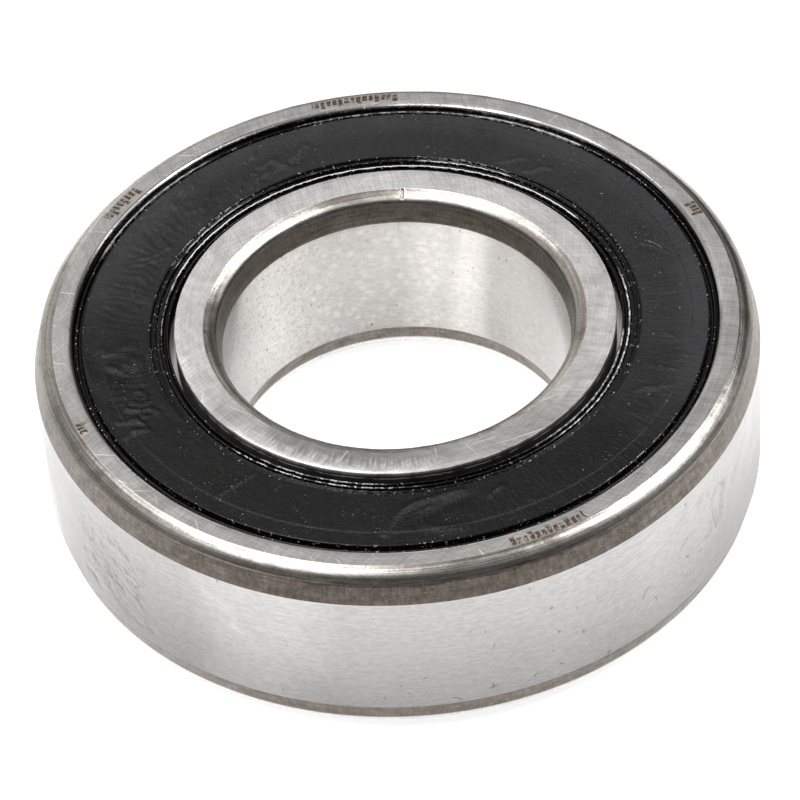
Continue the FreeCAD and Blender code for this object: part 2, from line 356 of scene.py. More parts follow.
# Creases in the flat band of the upper seal. Each is (height, width, points), with
# points as (azimuth in degrees, radius in millimetres).
SEAL_CREASES = [
    (0.050, 0.30, [(-178, 21.3), (-176, 20.4), (-177.5, 19.4), (-178.5, 18.4)]),
    (0.045, 0.28, [(-173, 21.0), (-171.5, 20.1), (-173, 19.0), (-172, 18.2)]),
    (-0.04, 0.25, [(-169.5, 20.9), (-168.5, 19.8), (-170, 18.7)]),
    (0.060, 0.14, [(-152.2, 22.0), (-153.2, 21.2), (-152.6, 20.6), (-151.9, 19.9)]),
    (0.055, 0.12, [(-157.3, 21.8), (-156.0, 21.0), (-155.6, 20.4), (-153.4, 20.0)]),
    (0.045, 0.10, [(-160, 20.8), (-158.6, 20.2), (-157.4, 19.4), (-158, 18.8)]),
    (0.045, 0.08, [(-128.6, 21.3), (-128.0, 20.4), (-127.2, 19.4), (-126.2, 18.6), (-125.6, 17.6)]),
    (0.060, 0.22, [(-95, 21.6), (-94.2, 20.6), (-92.6, 19.6), (-89.6, 18.7), (-84, 18.2), (-77, 17.9)]),
    (0.035, 0.30, [(-88, 20.2), (-86.4, 20.9), (-83, 21.3), (-79, 21.4)]),
    (-0.04, 0.34, [(-90, 20.8), (-86, 19.7), (-80, 18.9), (-75, 18.7)]),
    (0.040, 0.16, [(-73.5, 19.4), (-72, 18.9), (-69, 18.5)]),
    (0.050, 0.16, [(-24.5, 21.1), (-26.2, 20.3), (-27.6, 19.4), (-29.8, 18.6)]),
    (0.030, 0.10, [(-12.8, 20.4), (-11.2, 19.8), (-10.2, 19.2)]),
    (0.032, 0.07, [(13.2, 20.6), (15.6, 20.1), (17.4, 19.5), (18.0, 19.0)]),
    (0.050, 0.15, [(50.2, 19.4), (52.6, 18.9), (53.6, 18.3), (55.8, 17.9)]),
    (0.045, 0.14, [(55.4, 19.4), (58.4, 19.1), (60.2, 18.5), (62.6, 18.0)]),
    (0.060, 0.24, [(105.2, 20.2), (107.0, 20.3), (108.8, 19.9), (110.6, 19.3), (113.0, 19.5)]),
    (0.055, 0.20, [(111.6, 18.6), (113.4, 19.2), (114.6, 19.9), (117.0, 19.6), (118.4, 19.9)]),
    (-0.05, 0.22, [(106.8, 19.6), (109.4, 18.9), (111.6, 19.1)]),
    (0.045, 0.14, [(116.0, 19.2), (117.6, 18.8), (121.2, 18.5), (123.0, 17.9)]),
    (0.040, 0.13, [(120.4, 19.6), (122.4, 19.3), (124.6, 18.7), (127.4, 17.9)]),
    (-0.04, 0.16, [(113.4, 18.6), (116.2, 18.3), (119.0, 18.0)]),
    (0.070, 0.13, [(116.0, 21.6), (116.8, 21.3), (117.4, 20.8)]),
    (0.040, 0.26, [(131.2, 20.6), (132.0, 21.5), (134.4, 21.9), (137.6, 21.4), (139.0, 20.4)]),
    (-0.04, 0.26, [(133.4, 20.4), (135.2, 21.0), (137.0, 20.4), (136.0, 19.6)]),
    (0.035, 0.22, [(138.4, 19.9), (136.4, 19.2), (133.8, 19.3), (131.8, 20.0)]),
    (0.045, 0.12, [(142.8, 19.5), (144.6, 19.7), (147.0, 19.8), (148.4, 19.2), (149.8, 18.4)]),
    (0.050, 0.13, [(149.4, 18.3), (151.2, 18.9), (153.2, 19.0), (155.4, 20.0), (156.4, 20.6)]),
    (0.035, 0.12, [(152.8, 18.2), (154.6, 18.9), (156.6, 19.6), (158.0, 20.6)]),
    (0.040, 0.16, [(138.6, 22.0), (141.0, 21.6), (143.6, 21.8), (146.4, 21.3)]),
]

# Wrinkles of a dried film on the outside cylinder, as (height, width, points), with
# points as (azimuth in degrees, depth below the upper face in millimetres).
FILM_WRINKLES = [
    (-0.050, 0.20, [(-146.6, 7.2), (-145.6, 7.9), (-144.5, 8.7), (-142.2, 9.3), (-140.8, 9.4)]),
    (-0.045, 0.18, [(-145.6, 10.1), (-144.6, 10.6), (-142.9, 11.1), (-140.0, 11.4), (-137.4, 11.5)]),
    (-0.030, 0.16, [(-150.6, 6.5), (-149.0, 6.8), (-147.3, 7.1), (-146.6, 7.4)]),
    (-0.030, 0.16, [(-152.8, 9.0), (-151.6, 8.5), (-150.4, 8.6)]),
    (-0.030, 0.18, [(-152.8, 10.9), (-151.4, 10.6), (-149.8, 11.0), (-148.8, 11.4)]),
    (-0.026, 0.16, [(-143.4, 6.5), (-141.4, 7.1), (-139.8, 7.6), (-137.0, 7.6)]),
    (-0.026, 0.15, [(-149.2, 5.4), (-147.0, 5.8), (-144.6, 5.9), (-143.2, 5.6)]),
    (-0.024, 0.15, [(-149.4, 8.6), (-147.6, 8.8), (-146.4, 9.2), (-144.8, 10.0)]),
    (-0.020, 0.18, [(-151.6, 3.2), (-150.0, 4.0), (-147.6, 4.4), (-146.0, 3.8)]),
    (-0.034, 0.16, [(-136.4, 11.1), (-135.5, 11.5), (-134.8, 11.3)]),
    (-0.022, 0.16, [(-141.6, 8.4), (-139.6, 8.8), (-137.8, 9.0), (-136.0, 9.8)]),
    (-0.006, 0.40, [(-124.9, 2.7), (-120.8, 4.1), (-118.3, 5.9), (-115.8, 8.6)]),
    (-0.042, 0.20, [(-46.0, 5.3), (-43.6, 4.3), (-42.5, 3.35), (-40.6, 3.1)]),
    (-0.042, 0.18, [(-45.2, 8.5), (-44.2, 7.6), (-42.6, 6.9), (-39.8, 6.7)]),
    (-0.048, 0.18, [(-40.6, 8.4), (-38.1, 8.7), (-36.4, 8.5), (-35.9, 7.7), (-37.3, 7.3)]),
    (-0.048, 0.26, [(-40.2, 4.7), (-38.1, 4.1), (-36.6, 4.7)]),
    (-0.054, 0.24, [(-36.2, 5.8), (-34.6, 5.1), (-32.8, 5.1), (-31.8, 5.8)]),
    (-0.072, 0.22, [(-35.8, 6.2), (-34.9, 7.4), (-33.9, 8.9), (-33.1, 8.0), (-32.4, 6.2), (-31.0, 5.0)]),
    (-0.026, 0.30, [(-31.4, 8.9), (-29.6, 6.9), (-26.4, 5.2), (-22.4, 4.1)]),
]
FILM_STRETCHES = ((-155, -133, 0.24), (-126, -114, 0.3), (-48, -21, 0.24))

# Stretches of the film that are crumpled all over: azimuths, then depths.
CRUMPLES = ((-154, -135, 4.5, 12.4), (-47, -27, 2.8, 9.6))

# Clusters of small blisters on the upper seal: azimuths, radii, count, width and height.
BLISTERS = ((-163.5, -155, 18.6, 20.6, 24, 0.21, 0.130), (105, 128, 18.0, 20.2, 34, 0.19, 0.070),
            (-136, -128, 17.9, 18.8, 14, 0.10, 0.040), (131, 141, 18.8, 21.6, 14, 0.42, 0.060),
            (-12, 6, 17.8, 18.6, 24, 0.10, 0.045), (20, 34, 20.4, 22.0, 16, 0.10, 0.045))


BAND_MIDDLE_RADIUS = 20.0
STROKE_COUNT = 54
STROKE_WIDTH = 0.09
TALLEST_BUMP = 0.15

# How much wider and taller the relief is made than its tables say.
CREASE_GAINS = (1.35, 2.6)
WRINKLE_GAINS = (0.85, 2.2)
CRUMPLE_DEPTH = 0.032


def along_arc(azimuth, radius):
    """Length round the axis, so that creases keep their width."""
    return np.radians(azimuth) * radius


def seal_relief(creases, seed, brushed, blisters):
    """Relief of one seal: creases, blisters and brush marks on its flat, a fine wave on its lip."""
    rng = random.Random(seed)
    bumps = [(rng.uniform(a, b), rng.uniform(c, d), wide * rng.uniform(0.6, 1.2),
              tall * rng.uniform(0.4, 1.1))
             for a, b, c, d, count, wide, tall in blisters for _ in range(count)]
    strokes = [(rng.uniform(*brushed), rng.uniform(20.4, 21.9), rng.uniform(1.4, 3.2),
                rng.uniform(-1.2, 1.2), rng.uniform(0.020, 0.055)) for _ in range(STROKE_COUNT)]

    def relief(r, z, azimuth):
        x = along_arc(azimuth, BAND_MIDDLE_RADIUS)
        height = np.zeros(r.shape)
        for tall, wide, points in creases:
            line = [(along_arc(a, BAND_MIDDLE_RADIUS), radius) for a, radius in points]
            height += crease(x, r, line, CREASE_GAINS[0] * wide, CREASE_GAINS[1] * tall)
        for start, top, length, lean, tall in strokes:
            line = [(along_arc(start + lean * t, BAND_MIDDLE_RADIUS), top - length * t)
                    for t in (0, 0.5, 1)]
            height += crease(x, r, line, STROKE_WIDTH, tall)
        for centre, radius, wide, tall in bumps:
            reach = np.abs(azimuth - centre) < 4 * np.degrees(wide / BAND_MIDDLE_RADIUS)
            away = (x[reach] - along_arc(centre, BAND_MIDDLE_RADIUS)) ** 2 + (r[reach] - radius) ** 2
            height[reach] += tall * np.exp(-away / wide ** 2)
        bend = 0.9 * fractal(x * 0.5, r * 0.5, 1.0, seed + 1)
        ripple = np.sin(2 * math.pi * (azimuth / 2.1 + r / 2.6 + bend))
        left = window(azimuth, 128, 182, 12) + window(azimuth, -182, -150, 10)
        height += 0.022 * ripple * left * window(r, 17.9, 21.6, 0.8)
        height += 0.11 * left * fractal(x * 0.7, r, 1.7, seed + 3)
        for tall, scale, offset in ((0.018, 2.6, 7), (0.010, 1.1, 0), (0.005, 0.45, 5)):
            height += tall * fractal(x, r, scale, seed + offset)
        flat = window(r, BAND_INNER_RADIUS + 0.05, BAND_OUTER_RADIUS - 0.05, 0.25)
        height *= flat * (np.abs(z) > BAND_TOP - 0.03)
        height = np.minimum(height, TALLEST_BUMP)
        ridges = (np.abs(z) > 6.77) & ((r < BAND_INNER_RADIUS) | (r > BAND_OUTER_RADIUS)) & (r < 23.0)
        for tall, scale, offset in ((0.030, 0.5, 9), (0.022, 0.2, 13)):
            height += ridges * tall * fractal(x, r * 0.2, scale, seed + offset)
        return r, z + np.sign(z) * height
    return relief


def worn_corner(x, r, z, seed):
    """How far a ring's rolled corners are worn down, in millimetres."""
    rolled = window(np.abs(z), 6.6, HALF_WIDTH + 1.0, 0.5)
    return rolled * (0.022 + 0.016 * fractal(x, r, 1.6, seed) + 0.006 * fractal(x, r, 0.5, seed + 2))


def film_relief(r, z, azimuth):
    """Wrinkles on the outside cylinder, always inwards, and wear on its corners."""
    depth = HALF_WIDTH - z
    x = along_arc(azimuth, OUTER_RADIUS)
    height = np.zeros(r.shape)
    for tall, wide, points in FILM_WRINKLES:
        line = [(along_arc(a, OUTER_RADIUS), d) for a, d in points]
        height += crease(x, depth, line, WRINKLE_GAINS[0] * wide, WRINKLE_GAINS[1] * tall)
    for start, end, upper, lower in CRUMPLES:
        spread = window(azimuth, start, end, 4) * window(depth, upper, lower, 1.5)
        folds = np.abs(fractal(x * 0.5, depth, 0.75, start))
        folds += 0.5 * np.abs(fractal(x * 0.5, depth, 0.3, end))
        height -= CRUMPLE_DEPTH * spread * np.clip(1 - 3.5 * folds, 0, 1)
    on_cylinder = r > OUTER_RADIUS - 1e-3
    height *= on_cylinder * window(depth, 2.4, 12.6, 0.2)
    corner = (r > OUTER_RADIUS - OUTER_CORNER["radial"] + 1e-3) & ~on_cylinder
    wear = worn_corner(x, r, z, 71) * corner
    return r + height - 0.6 * wear, z - 0.8 * np.sign(z) * wear


def bore_relief(r, z, azimuth):
    """Wear on the bore's corners, with one deep nick in the upper one."""
    x = along_arc(azimuth, BORE_RADIUS)
    corner = (r < BORE_RADIUS + BORE_CORNER["radial"] - 1e-3) & (r > BORE_RADIUS + 1e-3)
    wear = worn_corner(x, r, z, 83) * corner
    nick = NICK_DEPTH * np.exp(-((azimuth - NICK_AZIMUTH) / NICK_HALF_WIDTH) ** 2)
    nick *= window(z, 7.1, 8.0, 0.15) * corner
    return r + 0.6 * (wear + nick), z - np.sign(z) * (0.8 * wear + nick)


# ======== Materials ========
class Value:
    """A node's output. Arithmetic with it adds the nodes that work out the result."""

    def __init__(self, graph, socket):
        self.graph = graph
        self.socket = socket

    def __add__(self, other):
        return self.graph.math("ADD", self, other)

    def __sub__(self, other):
        return self.graph.math("SUBTRACT", self, other)

    def __rsub__(self, other):
        return self.graph.math("SUBTRACT", other, self)

    def __mul__(self, other):
        return self.graph.math("MULTIPLY", self, other)

    def __truediv__(self, other):
        return self.graph.math("DIVIDE", self, other)

    def __abs__(self):
        return self.graph.math("ABSOLUTE", self)


class Graph:
    """Short calls for building one material's nodes, with places in millimetres."""

    def __init__(self, name):
        self.material = bpy.data.materials.new(name)
        self.material.use_nodes = True
        self.tree = self.material.node_tree
        self.shader = self.tree.nodes["Principled BSDF"]
        self.mm = self.scaled(self.node("ShaderNodeTexCoord", "Object"), 1 / MM)
        self.x, self.y, self.z = self.split(self.mm)
        self.radius = self.math("SQRT", self.x * self.x + self.y * self.y)
        self.azimuth = self.math("ARCTAN2", self.y, self.x) * (180 / math.pi)

    def put(self, socket, value):
        """Links a value to an input, or sets the input to a number or a vector."""
        if isinstance(value, Value):
            self.tree.links.new(value.socket, socket)
        else:
            socket.default_value = value

    def node(self, kind, output, inputs=None, **settings):
        """Adds a node and gives one of its outputs. inputs and output go by name or number."""
        node = self.tree.nodes.new(kind)
        for name, setting in settings.items():
            setattr(node, name, setting)
        for key, value in (inputs or {}).items():
            self.put(node.inputs[key], value)
        return Value(self, node.outputs[output])

    def math(self, operation, *values):
        return self.node("ShaderNodeMath", 0, dict(enumerate(values)), operation=operation)

    def vector(self, operation, *values):
        return self.node("ShaderNodeVectorMath", "Vector", dict(enumerate(values)), operation=operation)

    def scaled(self, vector, factor):
        """A vector or a colour times a factor."""
        inputs = {0: vector, "Scale": factor}
        return self.node("ShaderNodeVectorMath", "Vector", inputs, operation="SCALE")

    def split(self, vector):
        """The three coordinates of a vector."""
        first = self.node("ShaderNodeSeparateXYZ", 0, {0: vector})
        return [Value(self, socket) for socket in first.socket.node.outputs]

    def combine(self, x, y, z):
        return self.node("ShaderNodeCombineXYZ", 0, {0: x, 1: y, 2: z})

    def reach(self, x, y):
        """Length of a vector in the plan."""
        inputs = {0: self.combine(x, y, 0.0)}
        return self.node("ShaderNodeVectorMath", "Value", inputs, operation="LENGTH")

    def around(self, factor, third):
        """The direction from the axis, as two numbers times a factor, with a third number."""
        return self.combine(self.x / self.radius * factor, self.y / self.radius * factor, third)

    def stretched(self, x, y, z):
        """The position with each axis scaled by its own factor."""
        return self.vector("MULTIPLY", self.mm, (x, y, z))

    def noise(self, vector, scale, detail=2.0, roughness=0.5, distortion=0.0):
        return self.node("ShaderNodeTexNoise", "Fac", {
            "Vector": vector, "Scale": scale, "Detail": detail, "Roughness": roughness,
            "Distortion": distortion})

    def cells(self, vector, scale):
        return self.node("ShaderNodeTexVoronoi", "Distance", {"Vector": vector, "Scale": scale})

    def ramp(self, value, low, high, out_low=0.0, out_high=1.0):
        """A smooth change from out_low to out_high as value goes from low to high."""
        return self.node("ShaderNodeMapRange", "Result", {
            "Value": value, "From Min": low, "From Max": high, "To Min": out_low, "To Max": out_high},
            interpolation_type="SMOOTHSTEP")

    def spread(self, noise, out_low=0.0, out_high=1.0):
        """Noise, which is mostly from 0.3 to 0.7, spread over another range."""
        return self.ramp(noise, 0.3, 0.7, out_low, out_high)

    def between(self, value, low, high, soft):
        """1 between low and high with soft edges."""
        return (self.ramp(value, low - soft, low + soft)
                * self.ramp(value, high - soft, high + soft, 1.0, 0.0))

    def mix(self, factor, a, b):
        """Colour a where factor is 0, and colour b where it is 1."""
        return self.node("ShaderNodeMix", 2, {0: factor, 6: a, 7: b}, data_type="RGBA")

    def bump(self, height, distance_mm):
        return self.node("ShaderNodeBump", 0, {"Height": height, "Distance": distance_mm * MM})

    def swirl(self, direction, distance, fineness, seed, low, high, along=0.10):
        """Thin arcs about a point outside the ring, as a grinding disc leaves them."""
        inputs = {"Vector": self.mm, "Angle": math.radians(direction)}
        turned_mm = self.node("ShaderNodeVectorRotate", 0, inputs, rotation_type="Z_AXIS")
        x, y, _ = self.split(self.vector("ADD", turned_mm, (distance, 0, 0)))
        angle = self.math("ARCTAN2", y, x)
        place = self.combine(self.reach(x, y) * fineness, angle * (distance * along), seed)
        return self.ramp(self.noise(place, 1.0, 1.0, 0.5), low, high)

    def finish(self, colour, roughness, normal=None, metallic=1.0, **fixed):
        """Fills in the shader and gives the material. fixed are values of its other inputs."""
        self.put(self.shader.inputs["Base Color"], colour)
        self.put(self.shader.inputs["Roughness"], roughness)
        if normal is not None:
            self.put(self.shader.inputs["Normal"], normal)
        self.shader.inputs["Metallic"].default_value = metallic
        for name, value in fixed.items():
            self.shader.inputs[name.replace("_", " ")].default_value = value
        return self.material


def tinted(value, red, green, blue):
    """A colour from one value and a factor for each channel."""
    return (value * red, value * green, value * blue, 1.0)


def grey(value, warmth=0.0):
    """A steel colour: brighter in red and darker in blue as warmth rises."""
    return tinted(value, 1 + warmth, 1, 1 - warmth)


def code_marks(g):
    """Mask of short rows of plain radial ticks, etched into the outer ring's upper face."""
    azimuth = g.azimuth + g.spread(g.noise(g.mm, 2.2, 2.0), -0.12, 0.12)
    mask = 0.0
    for start, end, spacing in MARK_ROWS:
        row = g.between(azimuth, start, end, 0.08)
        step = (azimuth - start) / spacing
        tick = g.between(g.math("FRACT", step), 0.12, 0.88, 0.10)
        odd = abs(g.math("SINE", g.math("FLOOR", step) * 2.1))
        foot = odd * 0.26 + MARK_FOOT
        head = g.ramp(g.radius, MARK_HEAD - 0.05, MARK_HEAD + 0.05, 1.0, 0.0)
        long = g.ramp(g.radius, foot, foot + 0.08) * head
        mask = g.math("MAXIMUM", mask, row * tick * long)
    upper_half = g.ramp(g.z, 0.0, 0.5)
    return mask * upper_half


def thin_arc(g, points, half_width):
    """Mask of a thin arc through three points of the plan."""
    centre, radius, first, sweep = circle_through(*points)
    x, y, _ = g.split(g.vector("SUBTRACT", g.mm, (*centre, 0.0)))
    low_end, high_end = sorted((first, first + sweep))
    line = g.between(g.reach(x, y), radius - half_width, radius + half_width, 0.03)
    return line * g.between(g.math("ARCTAN2", y, x), low_end, high_end, 0.03)


def ground_face(name, marked, dull, bright):
    """End face of a ring: disc-ground, with crossing swirls, handling scratches and haze.

    dull and bright are the tones of the side nearer -Y and of the rest; the darker tone nearer -Y
    is painted shade.
    """
    g = Graph(name)
    fine = (g.swirl(20, 34, 9.0, 1.0, 0.36, 0.64) + g.swirl(140, 38, 8.0, 5.0, 0.36, 0.64)
            + g.swirl(255, 36, 10.0, 9.0, 0.36, 0.64))
    lay = g.noise(g.around(6.0, g.radius * 8.0), 1.0, 2.0, 0.6)
    deep = (g.swirl(75, 46, 3.2, 13.0, 0.71, 0.75, 0.14) + g.swirl(200, 31, 3.0, 17.0, 0.72, 0.76, 0.16)
            + g.swirl(310, 52, 3.6, 21.0, 0.72, 0.76, 0.12))
    deep = g.math("MINIMUM", deep, 1.0)
    haze = g.noise(g.mm, 0.22, 4.0, 0.62, 0.8)
    patch = g.noise(g.mm, 1.1, 3.0, 0.6, 0.4)
    # Painted shade: the face takes the darker tone on its side nearer -Y.
    tone = g.ramp(haze * 14.0 + g.y, -6.0, 4.0)
    tint = g.mix(tone, grey(dull, 0.02), grey(bright, 0.01))
    change = (g.spread(haze, -0.09, 0.09) + g.spread(patch, -0.06, 0.06) + (fine - 1.5) * 0.11
              + g.spread(lay, -0.07, 0.07))
    tint = g.scaled(tint, change + 1.0)
    tint = g.mix(deep * 0.6, tint, grey(0.8, 0.0))
    rough = g.spread(haze, 0.13, 0.2) + fine * 0.015
    if marked:
        marks = code_marks(g)
        worn = marks * g.ramp(g.noise(g.mm, 3.4, 2.0, 0.6), 0.34, 0.5, 0.45, 1.0)
        tint = g.mix(worn, tint, (0.080, 0.055, 0.034, 1.0))
        rough = rough + worn * 0.25
    else:
        # Painted highlight and painted shade in front: lighter towards the land, darker towards the bore.
        streak = g.noise(g.combine(g.azimuth * 1.3, g.radius * 0.7, 0.0), 1.0, 3.0, 0.6)
        place = g.radius + g.spread(streak, -0.45, 0.45)
        painted_rim_light = g.ramp(place, *RIM_LIGHT_RADII, -0.32, 0.54)
        painted_rim_light = painted_rim_light * g.between(g.azimuth, *RIM_LIGHT_AZIMUTHS, 12)
        tint = g.scaled(tint, painted_rim_light + 1.0)
        tint = g.mix(thin_arc(g, SCRATCH, 0.02) * 0.9, tint, grey(0.95, 0.0))
    height = fine * -0.3 + deep * -0.9 + g.noise(g.mm, 5.0, 3.0) * 0.6
    return g.finish(tint, rough, g.bump(height, 0.0020))


def fibres(g):
    """Mask of a few fine curled fibres stuck to the outside wall."""
    mask = 0.0
    for azimuth, height, radius, start, end in FIBRES:
        along = (g.azimuth - azimuth) * math.radians(OUTER_RADIUS)
        up = g.z - height
        angle = g.math("ARCTAN2", up, along) * (180 / math.pi)
        line = g.between(g.reach(along, up), radius - 0.035, radius + 0.035, 0.03)
        mask = g.math("MAXIMUM", mask, line * g.between(angle, start, end, 8))
    return mask


def ground_cylinder(name, tone, warmth, top_gain, painted_highlights, pebble):
    """Ground cylinder: fine lines round the axis, a mottled sheen and dark pits.

    top_gain is the tone at the upper edge over the tone at the lower edge, a painted shade that
    darkens the wall towards the bottom. rubbed lists painted highlights, the brighter stretches
    where the soft boxes reflect, as (azimuth, half width in degrees, gain). pebble is 0 for the
    outside wall and 1 for the bore, which is blistered at the back and pitted on its -X side.
    """
    g = Graph(name)
    lines = g.noise(g.stretched(0.10, 0.10, 9.0), 1.0, 4.0, 0.65)
    streak = g.noise(g.stretched(0.16, 0.16, 3.2), 1.0, 3.0, 0.6)
    drawn = 0.85 if pebble else 0.45
    mottle = g.noise(g.stretched(drawn, drawn, 1.4), 3.6 - 1.0 * pebble, 3.0, 0.68)
    cloud = g.noise(g.mm, 0.18, 2.0, 0.5)
    tint = g.mix(g.ramp(mottle, 0.32, 0.68), grey(tone * 0.91, warmth + 0.008),
                 grey(tone * 1.09, warmth))
    tint = g.mix(g.ramp(lines, 0.54, 0.72) * 0.35, tint, grey(tone * 1.4, 0.0))
    tint = g.mix(g.ramp(streak, 0.5, 0.72) * (0.14 - 0.06 * pebble), tint,
                 grey(tone * 0.72, warmth + 0.01))
    # Painted shade: the tone falls towards the bottom edge by top_gain, for the floor's contact shadow
    # that the wall reflects.
    gain = g.ramp(g.z, -HALF_WIDTH, HALF_WIDTH, 1.0, top_gain)
    # Painted highlights: brighter vertical stretches of the wall where the soft boxes reflect.
    wavy = g.azimuth + g.spread(g.noise(g.mm, 0.12, 2.0), -2.5, 2.5)
    for centre, half, extra in painted_highlights:
        gain = g.between(wavy, centre - half, centre + half, 0.6 * half) * extra + gain
    tint = g.scaled(tint, gain)
    pits = g.noise(g.stretched(3.2, 3.2, 1.5), 1.0, 1.0, 0.4)
    region = g.ramp(g.noise(g.mm, 0.28, 1.0), 0.46, 0.62)
    pits = g.ramp(pits, 0.72, 0.75) * region
    height = lines * 0.8 + mottle * 1.6 + pits * -1.5
    if pebble:
        blisters = g.ramp(g.cells(g.mm, 1.25), 0.10, 0.55, 1.0, 0.0)
        blisters = blisters * g.between(g.azimuth, *BLISTERED_AZIMUTHS, 12)
        tint = g.scaled(tint, blisters * 0.14 + 0.97)
        specks = g.ramp(g.noise(g.stretched(4.2, 4.2, 3.0), 1.0, 2.0, 0.5), 0.58, 0.64)
        specks = specks * g.between(g.azimuth, *SPECKED_AZIMUTHS, 16)
        pits = g.math("MAXIMUM", pits * 0.7, specks * (0.3 * pebble))
        height = height + blisters * 3.0 + specks * -1.2
    else:
        pits = g.math("MAXIMUM", pits * 0.6, fibres(g))
        depth = HALF_WIDTH - g.z
        # Painted highlight: a soft bright streak along a faint wrinkle of the film.
        aside = depth * -PLUME_LEAN + (g.azimuth - PLUME_AZIMUTH)
        bend = g.spread(g.noise(g.mm, 0.35, 2.0), -1.6, 1.6)
        plume_highlight = g.between(aside + bend, -1.0, 1.0, 1.2) * g.between(depth, *PLUME_DEPTHS, 1.6)
        ragged = g.ramp(g.noise(g.mm, 0.7, 3.0, 0.6), 0.3, 0.6)
        tint = g.scaled(tint, plume_highlight * ragged * 0.13 + 1.0)
        # Painted shade: dark lines in the folds of the crumpled film.
        painted_crease_shade = g.between(g.azimuth, *CREASE_SHADE_AZIMUTHS, 4) * g.between(depth, *CREASE_SHADE_DEPTHS, 1.2)
        across = depth * 0.8 + g.azimuth * -0.28
        along = depth * 0.22 + g.azimuth * 0.13
        fold = g.noise(g.combine(across, along, 0.0), 1.0, 3.0, 0.6, 0.4)
        painted_crease_shade = painted_crease_shade * g.between(fold, 0.545, 0.575, 0.012)
        tint = g.mix(painted_crease_shade * 0.62, tint, grey(0.06, 0.05))
    tint = g.mix(pits * 0.75, tint, grey(0.05, 0.04))
    rough = g.spread(cloud, 0.17, 0.26) + g.spread(mottle) * 0.05
    return g.finish(tint, rough, g.bump(height, 0.0030), Anisotropic=0.5, Anisotropic_Rotation=0.25)


def turned_corner(name, tone, seam, painted_roll_light, seam_shade_gain):
    """Corner as turned and hardened: a bright roll next to the face, and a brown cone below it.

    seam is the height at which the roll has faded into the cone. gains lists stretches of the
    roll with painted highlights, where gain is above 1, and painted shade, where it is below 1,
    as (first azimuth, last azimuth, soft ends, lowest height, gain). seam_shade_gain multiplies the
    tone at the seam in front, as painted shade.
    """
    g = Graph(name)
    height = abs(g.z)
    rings = g.noise(g.combine(g.x * 0.05, g.y * 0.05, (height - g.radius) * 6.0), 1.0, 4.0, 0.7)
    cloud = g.noise(g.mm, 0.30, 3.0, 0.6)
    smear = g.noise(g.stretched(0.55, 0.55, 1.5), 1.0, 5.0, 0.66, 0.2)
    climb = g.combine(0.0, 0.0, height * 1.1)
    hatch = g.noise(g.vector("ADD", g.scaled(g.around(25.0, 0.0), 3.4), climb), 1.0, 3.0, 0.6)
    grit = g.noise(g.stretched(5.0, 5.0, 7.0), 1.0, 2.0, 0.6)
    speck = g.noise(g.stretched(2.0, 2.0, 5.0), 1.0, 2.0, 0.6)
    # Painted light and shade: the cone takes the lighter tint away from the -Y side and the darker one on
    # it.
    side = g.ramp(cloud * 14.0 + g.y, -20.0, -6.0)
    base = g.mix(g.spread(rings), tinted(tone, 1.06, 0.89, 0.74), tinted(tone, 1.38, 1.20, 1.02))
    bright = g.mix(g.spread(rings), tinted(tone, 1.78, 1.56, 1.35), tinted(tone, 2.45, 2.22, 1.96))
    cone = g.mix(side, base, bright)
    cone = g.mix(g.ramp(smear, 0.42, 0.66) * 0.55, cone, tinted(tone, 0.70, 0.58, 0.48))
    cone = g.mix(g.ramp(speck, 0.62, 0.72) * 0.5, cone, grey(tone * 2.4, 0.05))
    cone = g.scaled(cone, g.spread(hatch, 0.82, 1.18))
    # Painted reflection of the white floor: the cone is lighter towards the bottom.
    cone = g.scaled(cone, g.ramp(g.z, -5.0, 5.0, 1.6, 1.0))
    roll = g.mix(g.ramp(rings, 0.35, 0.65), (0.22, 0.203, 0.182, 1.0), (0.42, 0.405, 0.38, 1.0))
    roll = g.mix(g.ramp(smear, 0.48, 0.68) * 0.5, roll, (0.125, 0.103, 0.08, 1.0))
    wander = g.spread(smear) * 0.16 + height
    place = g.ramp(wander, seam, seam + 0.34)
    # Painted highlights and painted shade on stretches of the roll, where the soft boxes and the gap
    # between them reflect.
    for start, end, soft, lowest, gain in painted_roll_light:
        here = g.between(g.azimuth, start, end, soft) * g.ramp(height, lowest, lowest + 0.15)
        roll = g.scaled(roll, here * (gain - 1.0) + 1.0)
    tint = g.mix(place, cone, roll)
    # Painted shade: a dark band at the seam in front, where the corner reflects the dark front of the
    # room.
    shade = g.between(wander, seam - 0.05, seam + 0.22, 0.1)
    shade = shade * g.between(g.azimuth, *SEAM_SHADE_AZIMUTHS, 12)
    tint = g.scaled(tint, shade * (seam_shade_gain - 1.0) + 1.0)
    # Painted reflection of the white floor on the foot of the lower corner.
    floor_reflection = g.ramp(g.z, -6.62, -6.38, 0.85, 0.0)
    tint = g.mix(floor_reflection, tint, grey(0.92, 0.0))
    tint = g.scaled(tint, g.spread(grit, 0.86, 1.14))
    polish = g.ramp(height, 7.10, 7.42)
    rough = polish * -0.22 + g.spread(rings, 0.38, 0.44)
    lift = rings + smear * -0.6 + grit * 0.4 + hatch * 0.6
    return g.finish(tint, rough, g.bump(lift, 0.005), Anisotropic=0.3)


